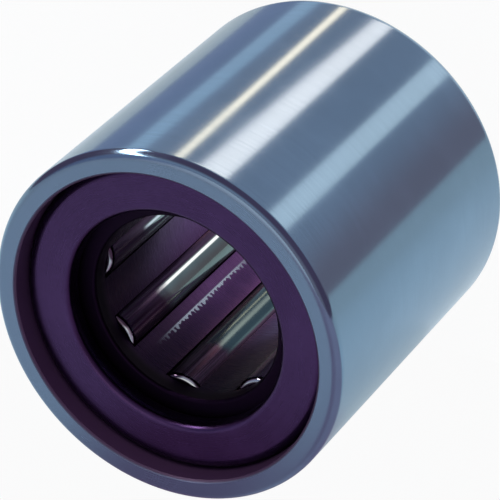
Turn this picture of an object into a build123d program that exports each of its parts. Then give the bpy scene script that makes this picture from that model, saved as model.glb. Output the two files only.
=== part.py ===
from build123d import *
from math import cos, radians, sin
import os

# Caged needle roller bearing without an inner ring: 6 mm shaft, 12 mm housing, 12 mm wide.
# Millimetres. The bearing stands on its back end: its axis is +Z, its front end
# faces up, and the origin is at its middle. Offsets are heights above the middle.
# The first needle lies on +X.
# The needle set drives the rest: outwards to the ring's outside, endwise to its faces.

# Needles
needle_count = 8
needle_diameter = 2.0
needle_length = 7.8
needle_end_radius = 0.16
needle_envelope = 6.0  # circle that the needles touch inside: the shaft diameter

# Cage
cage_setback = 0.2  # how far the needles stand out of the cage into the bore
cage_end_ring = 0.65  # closed ring between the pockets and each end of the cage
cage_edge_radius = 0.1
cage_mouth_snap = 0.16  # how much narrower than a needle a pocket's outside mouth is

# Side plates
plate_thickness = 0.7
plate_setback = 0.49  # radial step from the cage bore out to the plate bore
plate_outer_edge_radius = 0.38
plate_inner_edge_radius = 0.22  # bore edge on the outside face
plate_back_edge_radius = 0.12  # bore edge towards the cage

# Outer ring
plate_seat_width = 0.235  # radial step from the raceway out to the counterbore
rim_thickness = 0.75  # ring wall around the counterbore
recess_depth = 0.6  # how far a side plate sits below the end face
recess_lead = 0.08  # small chamfer at the mouth of the counterbore
ring_corner_radius = 0.3  # outside corners of both end faces

# Clearances
needle_race_clearance = 0.015  # radial
cage_race_clearance = 0.09  # radial
needle_pocket_clearance = 0.04  # all round the needle
needle_end_clearance = 0.05  # end play of a needle in its pocket, each end
cage_plate_gap = 0.1  # end play between cage and each side plate

# Radii, from the needles outwards
needle_radius = needle_diameter / 2
envelope_radius = needle_envelope / 2
pitch_radius = envelope_radius + needle_radius
pocket_radius = needle_radius + needle_pocket_clearance
cage_mouth_width = needle_diameter - cage_mouth_snap
race_radius = pitch_radius + needle_radius + needle_race_clearance
cage_bore_radius = envelope_radius + cage_setback
cage_radius = race_radius - cage_race_clearance
plate_bore_radius = cage_bore_radius + plate_setback
recess_radius = race_radius + plate_seat_width
ring_radius = recess_radius + rim_thickness

# Lengths and offsets, from the needles endwise
pocket_length = needle_length + 2 * needle_end_clearance
cage_length = pocket_length + 2 * cage_end_ring
shoulder_offset = cage_length / 2 + cage_plate_gap
plate_face_offset = shoulder_offset + plate_thickness
half_width = plate_face_offset + recess_depth

os.makedirs("parts", exist_ok=True)


def circles_of_radius(shape_edges, radius):
    """Circular edges of one radius."""
    circles = shape_edges.filter_by(GeomType.CIRCLE)
    return circles.filter_by(lambda edge: abs(edge.radius - radius) < 1e-4)


def edges_at_offset(shape_edges, offset):
    """Edges square to the axis, at one height above the middle."""
    return shape_edges.filter_by(lambda edge: abs(edge.center().Z - offset) < 1e-4)


# Outer ring: hardened ring with the raceway in its bore and, at both ends,
# a counterbore whose shoulder a side plate is pressed against.
with BuildPart() as outer_ring:
    with BuildSketch(Plane.XZ) as ring_section:
        with BuildLine() as ring_profile:
            Polyline(
                (race_radius, -shoulder_offset),
                (recess_radius, -shoulder_offset),
                (recess_radius, -half_width + recess_lead),
                (recess_radius + recess_lead, -half_width),
                (ring_radius, -half_width),
                (ring_radius, half_width),
                (recess_radius + recess_lead, half_width),
                (recess_radius, half_width - recess_lead),
                (recess_radius, shoulder_offset),
                (race_radius, shoulder_offset),
                close=True,
            )
        make_face()
    revolve(axis=Axis.Z)
    fillet(circles_of_radius(edges(), ring_radius), ring_corner_radius)
outer_ring.part.label = "outer_ring"
export_step(outer_ring.part, "parts/outer_ring.step")


def side_plate(end):
    """Flat ring pressed into the counterbore; end is 1 for the front, -1 for the back."""
    face_offset = end * plate_face_offset
    inside_offset = end * shoulder_offset
    with BuildPart() as plate:
        with BuildSketch(Plane.XY.offset(min(face_offset, inside_offset))) as plate_ring:
            Circle(recess_radius)
            Circle(plate_bore_radius, mode=Mode.SUBTRACT)
        extrude(amount=plate_thickness)
        face_edges = edges_at_offset(edges(), face_offset)
        fillet(circles_of_radius(face_edges, recess_radius), plate_outer_edge_radius)
        face_edges = edges_at_offset(edges(), face_offset)
        fillet(circles_of_radius(face_edges, plate_bore_radius), plate_inner_edge_radius)
        inside_edges = edges_at_offset(edges(), inside_offset)
        fillet(circles_of_radius(inside_edges, plate_bore_radius), plate_back_edge_radius)
    return plate


side_plate_front = side_plate(1)
side_plate_front.part.label = "side_plate_front"
export_step(side_plate_front.part, "parts/side_plate_front.step")

side_plate_back = side_plate(-1)
side_plate_back.part.label = "side_plate_back"
export_step(side_plate_back.part, "parts/side_plate_back.step")


# Cage: turned sleeve between the side plates with one pocket per needle.
# A pocket wraps round the inner half of its needle, which can't fall into the
# bore, and opens outwards through a mouth a little narrower than the needle.
with BuildPart() as cage:
    with BuildSketch(Plane.XY.offset(-cage_length / 2)) as cage_ring:
        Circle(cage_radius)
        Circle(cage_bore_radius, mode=Mode.SUBTRACT)
    extrude(amount=cage_length)
    end_edges = edges_at_offset(edges(), cage_length / 2)
    end_edges += edges_at_offset(edges(), -cage_length / 2)
    fillet(end_edges, cage_edge_radius)
    with BuildSketch(Plane.XY.offset(-pocket_length / 2)) as pocket_shapes:
        with PolarLocations(pitch_radius, needle_count):
            Circle(pocket_radius)
            Rectangle(
                ring_radius - pitch_radius,
                cage_mouth_width,
                align=(Align.MIN, Align.CENTER),
            )
    extrude(amount=pocket_length, mode=Mode.SUBTRACT)
cage.part.label = "cage"
export_step(cage.part, "parts/cage.step")


def needle(index):
    """One needle at its place on the pitch circle, axis parallel to the bearing's."""
    angle = radians(index * 360 / needle_count)
    with BuildPart() as roller:
        with BuildSketch(Plane.XY.offset(-needle_length / 2)) as roller_section:
            with Locations((pitch_radius * cos(angle), pitch_radius * sin(angle))):
                Circle(needle_radius)
        extrude(amount=needle_length)
        fillet(edges().filter_by(GeomType.CIRCLE), needle_end_radius)
    return roller


for needle_index in range(needle_count):
    roller = needle(needle_index)
    name = f"needle_{needle_index + 1}"
    roller.part.label = name
    export_step(roller.part, f"parts/{name}.step")
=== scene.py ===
"""Looks of the caged needle roller bearing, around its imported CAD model. Metres, +Z up.

The bearing stands on its back end, with its axis along +Z and its front end up. The photograph shows
it lying on its side, so the studio is turned with it: a pale board stands where the photograph has its
table, against the ring's outside, a dim hood arches over both for the metal to mirror, and the camera
is rolled. "Up" in the studio is away from that board.
"""
import math

import bmesh
import bpy
from mathutils import Matrix, Vector


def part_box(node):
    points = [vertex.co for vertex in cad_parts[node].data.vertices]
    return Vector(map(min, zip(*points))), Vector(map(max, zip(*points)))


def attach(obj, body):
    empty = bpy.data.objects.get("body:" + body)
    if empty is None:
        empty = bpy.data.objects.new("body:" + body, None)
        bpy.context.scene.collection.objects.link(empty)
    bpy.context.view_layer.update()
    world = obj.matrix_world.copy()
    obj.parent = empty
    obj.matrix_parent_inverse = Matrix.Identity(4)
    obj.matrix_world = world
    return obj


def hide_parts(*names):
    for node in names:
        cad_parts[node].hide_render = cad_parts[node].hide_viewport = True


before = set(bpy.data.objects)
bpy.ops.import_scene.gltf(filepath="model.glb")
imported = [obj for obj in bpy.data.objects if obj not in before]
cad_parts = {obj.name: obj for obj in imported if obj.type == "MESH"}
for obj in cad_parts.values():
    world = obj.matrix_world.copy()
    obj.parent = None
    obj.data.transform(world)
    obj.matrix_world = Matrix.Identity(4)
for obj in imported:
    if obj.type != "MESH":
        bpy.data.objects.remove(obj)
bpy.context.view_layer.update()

# Sizes read from the frame
RING_LOW, RING_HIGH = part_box("outer_ring")
RING_RADIUS = (RING_HIGH.x - RING_LOW.x) / 2
HALF_WIDTH = (RING_HIGH.z - RING_LOW.z) / 2
PLATE_LOW, PLATE_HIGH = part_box("side_plate_front")
SEAT_RADIUS = (PLATE_HIGH.x - PLATE_LOW.x) / 2
NEEDLE_LOW, NEEDLE_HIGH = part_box("needle_1")
NEEDLE_RADIUS = (NEEDLE_HIGH.x - NEEDLE_LOW.x) / 2
NEEDLE_HALF = (NEEDLE_HIGH.z - NEEDLE_LOW.z) / 2
PITCH_RADIUS = (NEEDLE_HIGH.x + NEEDLE_LOW.x) / 2
FLOOR_Z = RING_LOW.z

# Sizes inside the pieces, which the frame's boxes don't give
RACE_RADIUS = PITCH_RADIUS + NEEDLE_RADIUS + 0.000015
PLATE_BORE = 0.00369
RING_CORNER = 0.0003
RECESS_LEAD = 0.00008
PLATE_OUTER_EDGE = 0.00038
PLATE_INNER_EDGE = 0.00022
PLATE_BACK_EDGE = 0.00012
NEEDLE_END = 0.00016
SHARP = 0.000015  # break of an edge that looks sharp
CREASE = math.radians(25)  # faces that meet at more than this are shaded apart
# The cage's bright strip is a painted highlight, a lamp's reflection painted into its bore at this angle
HIGHLIGHT_STRIP_ANGLE = math.radians(-126)  # of the bright strip in the cage, in the studio's axes
LOWEST_NEEDLE = math.radians(-99)  # of the needle nearest the board, in the studio's axes

# Studio: its axes are the bearing's, turned round the axis
STUDIO = Matrix.Rotation(math.radians(9.0), 3, "Z")
STUDIO_UP = STUDIO @ Vector((0, 1, 0))

# Camera: where the photograph was taken from, in the studio's axes
CAMERA_TURN = math.radians(27.73)  # from the front end's direction sideways
CAMERA_RISE = math.radians(29.91)  # from there upwards
CAMERA_DISTANCE = 16.955 * RING_RADIUS
CAMERA_AIM = STUDIO @ Vector((-0.013, -0.027, 0.024)) * RING_RADIUS
LENS = 229.8
SENSOR = 36.0

# World, cards and lamps of the studio
WORLD_STRENGTH = 0.6
FLOOR_REACH = 0.6
FLOOR_LIFT = 0.95  # share by which the card is lifted for the rays that show the background
BOARD_REACH = 0.2
BOARD_LIFT = 0.6
HOOD_RADIUS = 0.35
HOOD_REACH = 0.6
HOOD_OVERLAP = 12  # degrees by which the hood passes a half circle on each side
PANEL_DISTANCE = 0.3
PANEL_REACH = 2.6  # length of a streak's panel, over the length that the ring's outside mirrors
LAMP_DISTANCE = 0.4

# Colours of the studio
CARD = (0.84, 0.88, 0.92)
WHITE = (1.0, 1.0, 1.0)
HOOD_LEFT = (0.31, 0.36, 0.52)
HOOD_RIGHT = (0.35, 0.28, 0.33)
HOOD_HIGH = (0.42, 0.44, 0.53)
HOOD_DARK = (0.16, 0.10, 0.16)
BOARD_NEAR = (0.68, 0.80, 0.85)
BOARD_FAR = (0.56, 0.62, 0.61)
# painted shadow on the board's lift, under the bearing and at its right-hand front
BOARD_SHADE = (0.28, 0.12, 0.26)


# ---------------------------------------------------------------- node trees

class Nodes:
    """Builds the nodes of one tree. An operand is a socket, a number or a colour triple."""

    def __init__(self, tree):
        self.tree = tree

    def node(self, kind, **settings):
        made = self.tree.nodes.new(kind)
        for key, value in settings.items():
            setattr(made, key, value)
        return made

    def join(self, source, target):
        self.tree.links.new(source, target)

    def put(self, operand, socket):
        if isinstance(operand, bpy.types.NodeSocket):
            self.join(operand, socket)
        elif isinstance(operand, tuple):
            socket.default_value = (*operand, 1)
        else:
            socket.default_value = operand

    def math(self, operation, *operands, clamp=False):
        made = self.node("ShaderNodeMath", operation=operation, use_clamp=clamp)
        for operand, socket in zip(operands, made.inputs):
            self.put(operand, socket)
        return made.outputs[0]

    def plus(self, first, second):
        return self.math("ADD", first, second)

    def minus(self, first, second, clamp=False):
        return self.math("SUBTRACT", first, second, clamp=clamp)

    def times(self, first, second):
        return self.math("MULTIPLY", first, second)

    def remap(self, value, low, high, to_low=0.0, to_high=1.0):
        """Smooth step of a value between two bounds, onto a new range."""
        made = self.node("ShaderNodeMapRange", interpolation_type="SMOOTHSTEP")
        made.inputs["From Min"].default_value = low
        made.inputs["From Max"].default_value = high
        made.inputs["To Min"].default_value = to_low
        made.inputs["To Max"].default_value = to_high
        self.join(value, made.inputs["Value"])
        return made.outputs["Result"]

    def between(self, value, rise, fall):
        """Smooth mask: 1 between the end of a rise and the start of a fall, each a pair of bounds."""
        return self.times(self.remap(value, *rise), self.remap(value, *fall, 1.0, 0.0))

    def blend(self, factor, first, second):
        made = self.node("ShaderNodeMix", data_type="RGBA")
        self.join(factor, made.inputs["Factor"])
        self.put(first, made.inputs["A"])
        self.put(second, made.inputs["B"])
        return made.outputs["Result"]

    def coordinates(self, kind):
        return self.node("ShaderNodeTexCoord").outputs[kind]

    def split(self, vector):
        made = self.node("ShaderNodeSeparateXYZ")
        self.join(vector, made.inputs[0])
        return made.outputs

    def along(self, vector, way):
        """Length of a vector along a fixed way."""
        made = self.node("ShaderNodeVectorMath", operation="DOT_PRODUCT")
        made.inputs[1].default_value = way
        self.join(vector, made.inputs[0])
        return made.outputs["Value"]

    def background_rays(self):
        """1 for the rays that show the plain background: the camera's, and those from metal and glass."""
        rays = self.node("ShaderNodeLightPath").outputs
        metal_and_glass = self.math("MAXIMUM", rays["Is Glossy Ray"], rays["Is Transmission Ray"])
        return self.math("MAXIMUM", rays["Is Camera Ray"], metal_and_glass)

    def surface(self, factor, first, second, output):
        """Send a mix of two shaders to the tree's output node."""
        mix = self.node("ShaderNodeMixShader")
        out = self.node(output)
        self.join(factor, mix.inputs["Fac"])
        self.join(first.outputs[0], mix.inputs[1])
        self.join(second.outputs[0], mix.inputs[2])
        self.join(mix.outputs[0], out.inputs["Surface"])


def blank_material(name):
    material = bpy.data.materials.new(name)
    material.use_nodes = True
    material.node_tree.nodes.clear()
    return material, Nodes(material.node_tree)


def studio_way(angle):
    """Unit vector square to the axis; angle in radians from the studio's right to its up."""
    return STUDIO @ Vector((math.cos(angle), math.sin(angle), 0))


# ---------------------------------------------------------------- camera

def camera_direction():
    """Unit vector from the bearing to the camera."""
    level = math.cos(CAMERA_RISE)
    side = level * math.sin(CAMERA_TURN)
    ahead = level * math.cos(CAMERA_TURN)
    return STUDIO @ Vector((side, math.sin(CAMERA_RISE), ahead))


def camera_place():
    return CAMERA_AIM + CAMERA_DISTANCE * camera_direction()


def add_camera():
    data = bpy.data.cameras.new("camera")
    data.lens = LENS
    data.sensor_width = SENSOR
    data.clip_start = 0.001
    camera = bpy.data.objects.new("camera", data)
    bpy.context.scene.collection.objects.link(camera)
    camera.location = camera_place()
    right = STUDIO_UP.cross(camera_direction()).normalized()
    upward = camera_direction().cross(right)
    camera.rotation_euler = Matrix((right, upward, camera_direction())).transposed().to_euler()
    bpy.context.scene.camera = camera


# ---------------------------------------------------------------- world, floor and cards

def add_world():
    """White for the camera and in the metal, and a dim even light on everything else."""
    world = bpy.data.worlds.new("studio")
    bpy.context.scene.world = world
    world.use_nodes = True
    world.node_tree.nodes.clear()
    tree = Nodes(world.node_tree)
    dim = tree.node("ShaderNodeBackground")
    dim.inputs["Color"].default_value = (*HOOD_HIGH, 1)
    dim.inputs["Strength"].default_value = WORLD_STRENGTH
    white = tree.node("ShaderNodeBackground")
    white.inputs["Color"].default_value = (*WHITE, 1)
    tree.surface(tree.background_rays(), dim, white, "ShaderNodeOutputWorld")


def pale_matt(name, share):
    """Plain pale card, lifted by a share to white for the rays that show the background."""
    material, tree = blank_material(name)
    diffuse = tree.node("ShaderNodeBsdfDiffuse")
    diffuse.inputs["Color"].default_value = (*CARD, 1)
    lift = tree.node("ShaderNodeEmission")
    lift.inputs["Color"].default_value = (*WHITE, 1)
    tree.surface(tree.times(tree.background_rays(), share), diffuse, lift, "ShaderNodeOutputMaterial")
    return material


def shaded_matt(name, share):
    """Pale card whose lift greys far away.

    The lift carries a painted violet shadow under the bearing's front end,
    and painted shade at its right-hand front.
    """
    material = pale_matt(name, share)
    tree = Nodes(material.node_tree)
    sideways, _, along = tree.split(tree.coordinates("Object"))

    def fade(value, start, stop):
        """Smooth step between two bounds in ring radii."""
        return tree.remap(value, start * RING_RADIUS, stop * RING_RADIUS)

    def distance_from(place_along):
        """Distance on the board from the spot below one place on the axis, given in ring radii."""
        offset = tree.minus(along, place_along * RING_RADIUS)
        return tree.math("SQRT", tree.plus(tree.times(sideways, sideways), tree.times(offset, offset)))

    colour = tree.blend(fade(distance_from(0), 2.5, 9), BOARD_NEAR, BOARD_FAR)
    # Painted shadow under the front end and painted shade at the right-hand front, in BOARD_SHADE
    corner = tree.times(fade(sideways, 0.3, 1.05), fade(along, -0.1, 0.6))
    clear = tree.times(fade(distance_from(1.2), 0.2, 1.1), tree.minus(1, corner))
    tree.join(tree.blend(clear, BOARD_SHADE, colour), material.node_tree.nodes["Emission"].inputs["Color"])
    return material


def emitter(name, colour, strength):
    material, tree = blank_material(name)
    out = tree.node("ShaderNodeOutputMaterial")
    light = tree.node("ShaderNodeEmission")
    light.inputs["Color"].default_value = (*colour, 1)
    light.inputs["Strength"].default_value = strength
    tree.join(light.outputs["Emission"], out.inputs["Surface"])
    return material


def hood_card():
    """Dim card, darkest square to the bearing's axis; towards the ends it is palest high up.

    Its colour follows the direction in which it is seen from the bearing.
    """
    material = emitter("hood_card", HOOD_HIGH, 1.0)
    tree = Nodes(material.node_tree)
    unit = tree.node("ShaderNodeVectorMath", operation="NORMALIZE")
    tree.join(tree.coordinates("Object"), unit.inputs[0])
    sight = unit.outputs[0]
    ahead = tree.along(sight, Vector((0, 0, 1)))
    beside = tree.minus(tree.remap(ahead, -0.7, -0.5), tree.remap(ahead, 0.3, 0.7), clamp=True)
    low = tree.blend(tree.remap(tree.along(sight, studio_way(0)), -0.6, 0.2), HOOD_LEFT, HOOD_RIGHT)
    raised = tree.minus(tree.along(sight, STUDIO_UP), tree.remap(ahead, -0.05, 0.25, 0.0, 0.3))
    colour = tree.blend(tree.remap(raised, 0.1, 0.45), low, HOOD_HIGH)
    tree.join(tree.blend(beside, colour, HOOD_DARK), material.node_tree.nodes["Emission"].inputs["Color"])
    return material


def add_card(name, points, faces, material):
    """A flat or folded card of the studio, which isn't part of the bearing."""
    mesh = bpy.data.meshes.new(name)
    mesh.from_pydata([tuple(point) for point in points], [], faces)
    mesh.materials.append(material)
    card = bpy.data.objects.new(name, mesh)
    bpy.context.scene.collection.objects.link(card)
    return card


def only_mirrored(card):
    """The metal sees the card; it lights and hides nothing else."""
    card.visible_camera = False
    card.visible_diffuse = False
    card.visible_shadow = False


def add_hood(steps=48):
    """A card that arches over the bearing from side to side of the board, open at both ends.

    The metal mirrors it, and past its ends the white background.
    """
    points = []
    faces = []
    for step in range(steps + 1):
        angle = math.radians(-HOOD_OVERLAP + step * (180 + 2 * HOOD_OVERLAP) / steps)
        foot = HOOD_RADIUS * studio_way(angle)
        points += [(foot.x, foot.y, -HOOD_REACH), (foot.x, foot.y, HOOD_REACH)]
        if step:
            here = 2 * step
            faces.append((here - 2, here - 1, here + 1, here))
    only_mirrored(add_card("hood", points, faces, hood_card()))


def add_floor_and_board():
    """The floor under the bearing, and the board beside it that its metal mirrors.

    The metal sees past the floor, to the cards, the panels and the background, and the floor doesn't keep
    the lamp's light from the board.
    """
    square = ((-1, -1), (1, -1), (1, 1), (-1, 1))
    points = [(FLOOR_REACH * a, FLOOR_REACH * b, FLOOR_Z) for a, b in square]
    floor = add_card("floor", points, [(0, 1, 2, 3)], pale_matt("floor_matt", FLOOR_LIFT))
    floor.visible_glossy = False
    floor.visible_shadow = False
    points = [(BOARD_REACH * a, -RING_RADIUS, BOARD_REACH * b) for a, b in square]
    board = add_card("board", points, [(0, 1, 2, 3)], shaded_matt("board_matt", BOARD_LIFT))
    board.rotation_euler = STUDIO.to_euler()
    board.visible_camera = False


# ---------------------------------------------------------------- lamps

def mirrored_point(angle, along):
    """The point at the panels' distance that the camera sees mirrored in the ring's outside.

    angle: place on the ring in degrees, from the studio's right to its up; along: place along the axis,
    -1 at the back end and 1 at the front.
    """
    normal = studio_way(math.radians(angle))
    place = normal * RING_RADIUS + Vector((0, 0, along * HALF_WIDTH))
    sight = (place - camera_place()).normalized()
    return place + PANEL_DISTANCE * (sight - 2 * sight.dot(normal) * normal)


def add_streak(name, front, back, strength, colour):
    """A lit panel that shows as one streak on the ring's outside.

    front, back: the streak's two edges at each end of the ring, in degrees round it.
    """
    first, second = [mirrored_point(edge, 1) for edge in front]
    third, fourth = [mirrored_point(edge, -1) for edge in back]
    more = (PANEL_REACH - 1) / 2
    corners = [
        first + (first - third) * more,
        second + (second - fourth) * more,
        fourth + (fourth - second) * more,
        third + (third - first) * more,
    ]
    only_mirrored(add_card(name, corners, [(0, 1, 2, 3)], emitter(name, colour, strength)))


def add_glint(name, angles, tilts, strength):
    """A small lit panel that the rounded edges mirror where their surface faces one way.

    angles: that way's range in degrees round the axis, from the studio's right to its up;
    tilts: its range of slopes from the front end's direction.
    """
    corners = []
    for angle, tilt in ((0, 0), (1, 0), (1, 1), (0, 1)):
        slope = math.radians(tilts[tilt])
        normal = math.sin(slope) * studio_way(math.radians(angles[angle]))
        normal.z = math.cos(slope)
        way = 2 * camera_direction().dot(normal) * normal - camera_direction()
        corners.append(PANEL_DISTANCE * way)
    only_mirrored(add_card(name, corners, [(0, 1, 2, 3)], emitter(name, WHITE, strength)))


def add_softbox(name, size, strength):
    """A square softbox that faces the pale board across the bearing."""
    data = bpy.data.lights.new(name, "AREA")
    data.shape = "SQUARE"
    data.size = size
    data.energy = strength * math.pi * size * size
    lamp = bpy.data.objects.new(name, data)
    bpy.context.scene.collection.objects.link(lamp)
    lamp.location = LAMP_DISTANCE * STUDIO_UP
    lamp.rotation_euler = STUDIO_UP.to_track_quat("Z", "Y").to_euler()
    lamp.visible_camera = False
    lamp.visible_glossy = False


# ---------------------------------------------------------------- procedural steels

class Steel(Nodes):
    """A metal whose marks and masks follow the bearing's axis. Lengths in mm, except in noise scales."""

    def __init__(self, name, colour):
        self.material = bpy.data.materials.new(name)
        self.material.use_nodes = True
        super().__init__(self.material.node_tree)
        self.shader = self.tree.nodes["Principled BSDF"]
        self.shader.inputs["Metallic"].default_value = 1.0
        self.colour = colour

    def scaled(self, factor):
        """The steel's colour, darker or lighter."""
        return tuple(channel * factor for channel in self.colour)

    def round_coordinates(self):
        """Sockets for the radius, the unit direction round the axis (x, y) and the place along it, in mm."""
        x, y, z = [self.times(part, 1000) for part in self.split(self.coordinates("Object"))]
        radius = self.math("SQRT", self.plus(self.times(x, x), self.times(y, y)))
        return radius, self.math("DIVIDE", x, radius), self.math("DIVIDE", y, radius), z

    def towards(self, turn_x, turn_y, angle):
        """How near the direction round the axis is to an angle: 1 at the angle, 0 square to it."""
        way = studio_way(angle)
        return self.plus(self.times(turn_x, way.x), self.times(turn_y, way.y))

    def noise(self, vector, scale, detail, roughness=0.6):
        made = self.node("ShaderNodeTexNoise")
        made.inputs["Scale"].default_value = scale
        made.inputs["Detail"].default_value = detail
        made.inputs["Roughness"].default_value = roughness
        self.join(vector, made.inputs["Vector"])
        return made.outputs["Fac"]

    def cloud(self, scale, detail=4.0, roughness=0.6):
        return self.noise(self.coordinates("Object"), scale, detail, roughness)

    def mottled(self, cloud, darkest, lightest):
        """The steel's colour, varied by a cloud."""
        return self.blend(self.remap(cloud, 0.35, 0.7), self.scaled(darkest), self.scaled(lightest))

    def bump(self, height, depth_mm):
        made = self.node("ShaderNodeBump")
        made.inputs["Strength"].default_value = 1.0
        made.inputs["Distance"].default_value = depth_mm / 1000
        self.join(height, made.inputs["Height"])
        self.join(made.outputs[0], self.shader.inputs["Normal"])

    def marks_round_axis(self, pitch_mm):
        """Fine marks that run round the axis: close together along it and the radius, long round it."""
        radius, turn_x, turn_y, along = self.round_coordinates()
        across = self.plus(self.times(radius, 1 / pitch_mm), self.times(along, 1 / pitch_mm))
        stretch = 0.07 / pitch_mm  # how fast the marks change round the axis
        place = self.node("ShaderNodeCombineXYZ")
        self.join(across, place.inputs[0])
        self.join(self.times(turn_x, stretch), place.inputs[1])
        self.join(self.times(turn_y, stretch), place.inputs[2])
        return self.noise(place.outputs[0], 1.0, 3.0)

    def painted_highlight_strip(self, turn_x, turn_y, along):
        """Mask of a painted highlight: a narrow lengthwise bright line, with uneven ticks along one side of
        it.
        """
        tick_pitch = 0.22  # mm
        tick_length = 0.045  # as a share of the radius, as the line's own width below
        near = self.towards(turn_x, turn_y, HIGHLIGHT_STRIP_ANGLE)
        aside = self.towards(turn_x, turn_y, HIGHLIGHT_STRIP_ANGLE + math.pi / 2)
        wave = self.math("SINE", self.times(along, 2 * math.pi / tick_pitch))
        uneven = self.times(self.cloud(6000.0, 3.0, 0.5), 8.0)
        ticks = self.remap(self.plus(wave, uneven), 2.6, 6.0)
        reach = self.plus(self.times(ticks, tick_length), 0.008)
        line = self.times(self.remap(aside, -0.016, -0.004), self.remap(near, 0.5, 0.6))
        line = self.times(line, self.remap(self.minus(reach, aside), 0.0, 0.01))
        return self.times(line, self.between(along, (-4.0, -1.5), (1.2, 3.2)))

    def finish(self, colour, roughness):
        self.join(colour, self.shader.inputs["Base Color"])
        self.join(roughness, self.shader.inputs["Roughness"])
        return self.material


def ground_ring_steel():
    """Ground bearing steel: fine marks round the axis, duller end faces.

    Painted shade inside the counterbores: dark violet, rougher and less metallic.
    """
    steel = Steel("ring_steel", (0.24, 0.36, 0.48))
    radius, _, _, along = steel.round_coordinates()
    marks = steel.marks_round_axis(0.035)
    cloud = steel.cloud(260.0)
    # Masks, with bounds in mm: the end faces, and all that lies inside the counterbores' mouths,
    # which gets painted shade
    end = steel.remap(steel.math("ABSOLUTE", along), 5.93, 5.99)
    inside = steel.remap(radius, 5.28, 5.36, 1.0, 0.0)
    scored = steel.times(steel.remap(marks, 0.35, 0.7), 0.5)
    colour = steel.blend(scored, steel.mottled(cloud, 0.94, 1.05), steel.scaled(0.9))
    colour = steel.blend(end, colour, (0.1806, 0.2408, 0.344))
    # Painted shade: all inside the counterbores' mouths turns dark violet
    colour = steel.blend(inside, colour, (0.07, 0.03, 0.08))
    roughness = steel.plus(steel.remap(marks, 0.3, 0.7, 0.115, 0.135), steel.times(end, 0.13))
    roughness = steel.plus(roughness, steel.remap(cloud, 0.4, 0.75, 0.0, 0.03))
    roughness = steel.plus(roughness, steel.times(inside, 0.3))
    steel.join(steel.minus(1.0, steel.times(inside, 0.7)), steel.shader.inputs["Metallic"])
    steel.bump(marks, 0.0002)
    return steel.finish(colour, roughness)


def plate_steel():
    """Pressed side plate, dark violet oxide: satin, faintly mottled, with fine facing marks."""
    steel = Steel("plate_steel", (0.066, 0.033, 0.099))
    marks = steel.marks_round_axis(0.05)
    cloud = steel.cloud(420.0, 5.0, 0.65)
    scored = steel.times(steel.remap(marks, 0.5, 0.8), 0.35)
    colour = steel.blend(scored, steel.mottled(cloud, 0.88, 1.08), steel.scaled(1.3))
    roughness = steel.remap(marks, 0.3, 0.7, 0.24, 0.32)
    roughness = steel.plus(roughness, steel.remap(cloud, 0.4, 0.75, 0.0, 0.06))
    steel.bump(marks, 0.0012)
    return steel.finish(colour, roughness)


def cage_steel():
    """Turned cage, dark violet oxide, with fine tool marks.

    Painted shade darkens it towards the front, and a painted highlight strip runs in its bore.
    """
    steel = Steel("cage_steel", (0.108, 0.046, 0.150))
    _, turn_x, turn_y, along = steel.round_coordinates()
    marks = steel.marks_round_axis(0.03)
    cloud = steel.cloud(500.0)
    # Masks, with bounds in mm along the axis: painted shade towards the front, and painted shade,
    # darker still, on the end ring past the pockets
    cage_front_shade = steel.remap(along, -2.5, 2.5)
    front = steel.remap(along, 3.9, 4.3)
    # Painted shade: darker towards the front, then near black and rougher on the end ring behind the plate
    colour = steel.blend(cage_front_shade, steel.mottled(cloud, 0.8, 1.1), steel.scaled(0.28))
    colour = steel.blend(front, colour, steel.scaled(0.1))
    # Painted highlight: the bright strip in the bore at one angle in the studio
    colour = steel.blend(steel.painted_highlight_strip(turn_x, turn_y, along), colour, (0.36, 0.42, 0.50))
    roughness = steel.remap(marks, 0.3, 0.7, 0.22, 0.32)
    roughness = steel.plus(roughness, steel.remap(cloud, 0.4, 0.75, 0.0, 0.06))
    roughness = steel.plus(roughness, steel.times(front, 0.25))
    steel.bump(marks, 0.0008)
    return steel.finish(colour, roughness)


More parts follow.
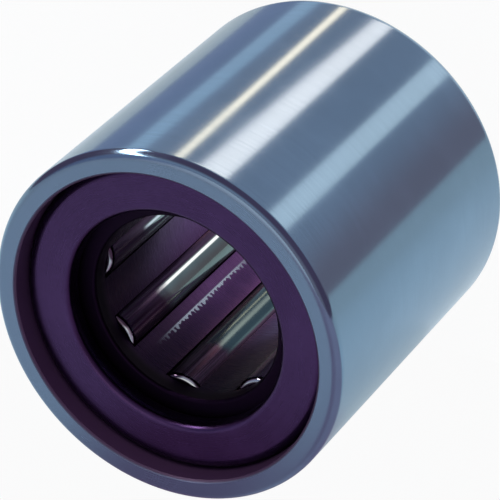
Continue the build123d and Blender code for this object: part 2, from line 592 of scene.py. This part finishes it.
def needle_steel():
    """Superfinished needles: near mirrors at the back, under painted shade towards the front.

    Only a band of each needle's surface keeps the mirror colour, with one painted highlight line in it;
    outside it the colour is painted shade, dark plum and faintly streaked. One side of the end fillets
    carries a painted highlight, the flat end faces are painted near black as shade, and the lowest needle
    in the studio is painted darker and rougher.
    """
    steel = Steel("needle_steel", (0.20, 0.27, 0.26))
    _, turn_x, turn_y, along = steel.round_coordinates()
    lowest = steel.remap(steel.towards(turn_x, turn_y, LOWEST_NEEDLE), 0.85, 0.92)
    lines = steel.node("ShaderNodeMapping")
    lines.inputs["Scale"].default_value = (1, 1, 0.02)
    steel.join(steel.coordinates("Object"), lines.inputs["Vector"])
    rubbing = steel.noise(lines.outputs[0], 9000.0, 3.0)
    cloud = steel.cloud(600.0, 3.0)

    # How far the surface faces along the bearing's axis, and round it
    facing_x, facing_y, facing_z = steel.split(steel.coordinates("Normal"))
    endwise = steel.math("ABSOLUTE", facing_z)
    side = steel.minus(steel.times(facing_x, turn_y), steel.times(facing_y, turn_x))
    end = steel.remap(endwise, 0.93, 0.99)
    edge = steel.remap(endwise, 0.03, 0.12)
    # Painted shade covers each needle outside this band of facing directions, and towards its front
    unshaded_band = steel.between(side, (-0.66, -0.56), (0.38, 0.46))
    # A painted highlight line runs inside that band
    painted_highlight_line = steel.between(side, (0.24, 0.29), (0.36, 0.41))
    edge_highlight = steel.between(side, (-0.45, -0.3), (0.0, 0.15))

    colour = steel.blend(painted_highlight_line, steel.mottled(cloud, 0.9, 1.06), (0.75, 0.80, 0.82))
    # Painted shade: the lowest needle in the studio is darker, and rougher below
    colour = steel.blend(lowest, colour, (0.065, 0.115, 0.13))
    # Painted shade towards the front, dark plum and faintly streaked
    needle_front_shade = steel.remap(steel.plus(along, steel.remap(cloud, 0.3, 0.7, -0.3, 0.3)), 1.2, 2.0)
    needle_shade = steel.math("MAXIMUM", needle_front_shade, steel.minus(1.0, unshaded_band))
    needle_shade_colour = steel.blend(steel.remap(rubbing, 0.4, 0.75), (0.05, 0.025, 0.055), (0.13, 0.08, 0.14))
    colour = steel.blend(needle_shade, colour, needle_shade_colour)
    # Painted shade on the end fillets, with a painted highlight on one side of them
    colour = steel.blend(edge, colour, steel.blend(edge_highlight, (0.09, 0.06, 0.09), (0.50, 0.52, 0.55)))
    # Painted shade: the flat end faces, deep inside the bearing, are near black
    colour = steel.blend(end, colour, (0.05, 0.03, 0.055))
    roughness = steel.plus(steel.remap(rubbing, 0.3, 0.7, 0.08, 0.14), steel.times(needle_shade, 0.1))
    roughness = steel.plus(roughness, steel.times(lowest, 0.06))
    roughness = steel.times(roughness, steel.minus(1.0, steel.times(edge, 0.65)))
    roughness = steel.plus(roughness, steel.times(end, 0.2))
    steel.bump(rubbing, 0.0004)
    return steel.finish(colour, roughness)


# ---------------------------------------------------------------- round pieces

def rounded(corners, steps=8, lead=1.25):
    """Closed outline through (radius, height, edge radius) corners, with each corner rounded by an arc.

    A point just outside each arc keeps the shading of the straight stretches flat; lead is its distance
    from the corner, over that of the arc's end.
    """
    outline = []
    for index, (radius, height, edge) in enumerate(corners):
        corner = Vector((radius, height))
        before = Vector(corners[index - 1][:2]) - corner
        after = Vector(corners[(index + 1) % len(corners)][:2]) - corner
        before.normalize()
        after.normalize()
        if edge == 0:
            outline.append(corner)
            continue
        half = before.angle(after) / 2
        reach = edge / math.tan(half)
        middle = corner + (before + after).normalized() * (edge / math.sin(half))
        start = corner + before * reach - middle
        end = corner + after * reach - middle
        sweep = math.pi - 2 * half
        outline.append(corner + before * reach * lead)
        for step in range(steps + 1):
            share = step / steps
            first = math.sin((1 - share) * sweep) / math.sin(sweep)
            second = math.sin(share * sweep) / math.sin(sweep)
            outline.append(middle + start * first + end * second)
        outline.append(corner + after * reach * lead)
    return outline


def turned(name, corners, material, body, turns, centre=(0, 0)):
    """A round piece: its outline turned about the line through centre that is parallel to Z.

    turns: number of steps in a whole turn.
    """
    outline = rounded(corners)
    shape = bmesh.new()
    rings = []
    for turn in range(turns):
        angle = 2 * math.pi * turn / turns
        ring = []
        for point in outline:
            x = centre[0] + point.x * math.cos(angle)
            y = centre[1] + point.x * math.sin(angle)
            ring.append(shape.verts.new((x, y, point.y)))
        rings.append(ring)
    for turn in range(turns):
        here = rings[turn]
        there = rings[(turn + 1) % turns]
        for index in range(len(outline)):
            after = (index + 1) % len(outline)
            shape.faces.new((here[index], there[index], there[after], here[after]))
    bmesh.ops.remove_doubles(shape, verts=shape.verts, dist=1e-8)
    bmesh.ops.recalc_face_normals(shape, faces=shape.faces)
    mesh = bpy.data.meshes.new(name)
    shape.to_mesh(mesh)
    shape.free()
    mesh.materials.append(material)
    mesh.shade_smooth()
    mesh.set_sharp_from_angle(angle=CREASE)
    piece = bpy.data.objects.new(name, mesh)
    bpy.context.scene.collection.objects.link(piece)
    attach(piece, body)
    return piece


def add_outer_ring(material):
    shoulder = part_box("side_plate_front")[0].z
    lead = SEAT_RADIUS + RECESS_LEAD
    half = [
        (RACE_RADIUS, shoulder, SHARP),
        (SEAT_RADIUS, shoulder, SHARP),
        (SEAT_RADIUS, HALF_WIDTH - RECESS_LEAD, SHARP),
        (lead, HALF_WIDTH, SHARP),
        (RING_RADIUS, HALF_WIDTH, RING_CORNER),
    ]
    mirrored = [(radius, -height, edge) for radius, height, edge in reversed(half)]
    piece = turned("ring", half + mirrored, material, "ring_assembly", 720)
    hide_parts("outer_ring")


def add_side_plate(name, node, side, material):
    """side: 1 at the front end, -1 at the back."""
    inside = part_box("side_plate_front")[0].z * side
    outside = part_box("side_plate_front")[1].z * side
    corners = [
        (PLATE_BORE, inside, PLATE_BACK_EDGE),
        (SEAT_RADIUS, inside, SHARP),
        (SEAT_RADIUS, outside, PLATE_OUTER_EDGE),
        (PLATE_BORE, outside, PLATE_INNER_EDGE),
    ]
    piece = turned(name, corners, material, "ring_assembly", 720)
    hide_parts(node)


def add_needle(node, material):
    low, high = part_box(node)
    centre = ((low.x + high.x) / 2, (low.y + high.y) / 2)
    corners = [
        (0, -NEEDLE_HALF, 0),
        (NEEDLE_RADIUS, -NEEDLE_HALF, NEEDLE_END),
        (NEEDLE_RADIUS, NEEDLE_HALF, NEEDLE_END),
        (0, NEEDLE_HALF, 0),
    ]
    piece = turned(node + "_roller", corners, material, node, 180, centre)
    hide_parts(node)


def dress(node, material):
    """Give a CAD node its material; its mesh stays as packed."""
    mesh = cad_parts[node].data
    mesh.materials.clear()
    mesh.materials.append(material)


# ---------------------------------------------------------------- scene

add_camera()
add_world()
add_hood()
add_floor_and_board()
add_softbox("softbox", size=0.5, strength=1.95)
add_glint("glint_top", angles=(96.5, 100.5), tilts=(40, 78), strength=14.0)
add_glint("glint_side", angles=(4, 12), tilts=(40, 50), strength=8.0)
add_streak("streak_left", (102.2, 96.3), (102.2, 95.5), strength=0.76, colour=(0.90, 1.07, 1.25))
add_streak("streak_narrow", (86.6, 84.3), (88.6, 86.2), strength=4.1, colour=(1.0, 0.69, 0.46))
add_streak("streak_broad", (78.6, 69.9), (76.4, 70.5), strength=3.1, colour=(1.0, 0.75, 0.63))
add_streak("streak_right", (54.6, 47.6), (54.6, 47.6), strength=1.4, colour=(1.0, 0.96, 0.93))

add_outer_ring(ground_ring_steel())
plate = plate_steel()
add_side_plate("front_plate", "side_plate_front", 1, plate)
add_side_plate("back_plate", "side_plate_back", -1, plate)
dress("cage", cage_steel())
needle = needle_steel()
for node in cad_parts:
    if node.startswith("needle_"):
        add_needle(node, needle)

bpy.context.scene.view_settings.view_transform = "Standard"
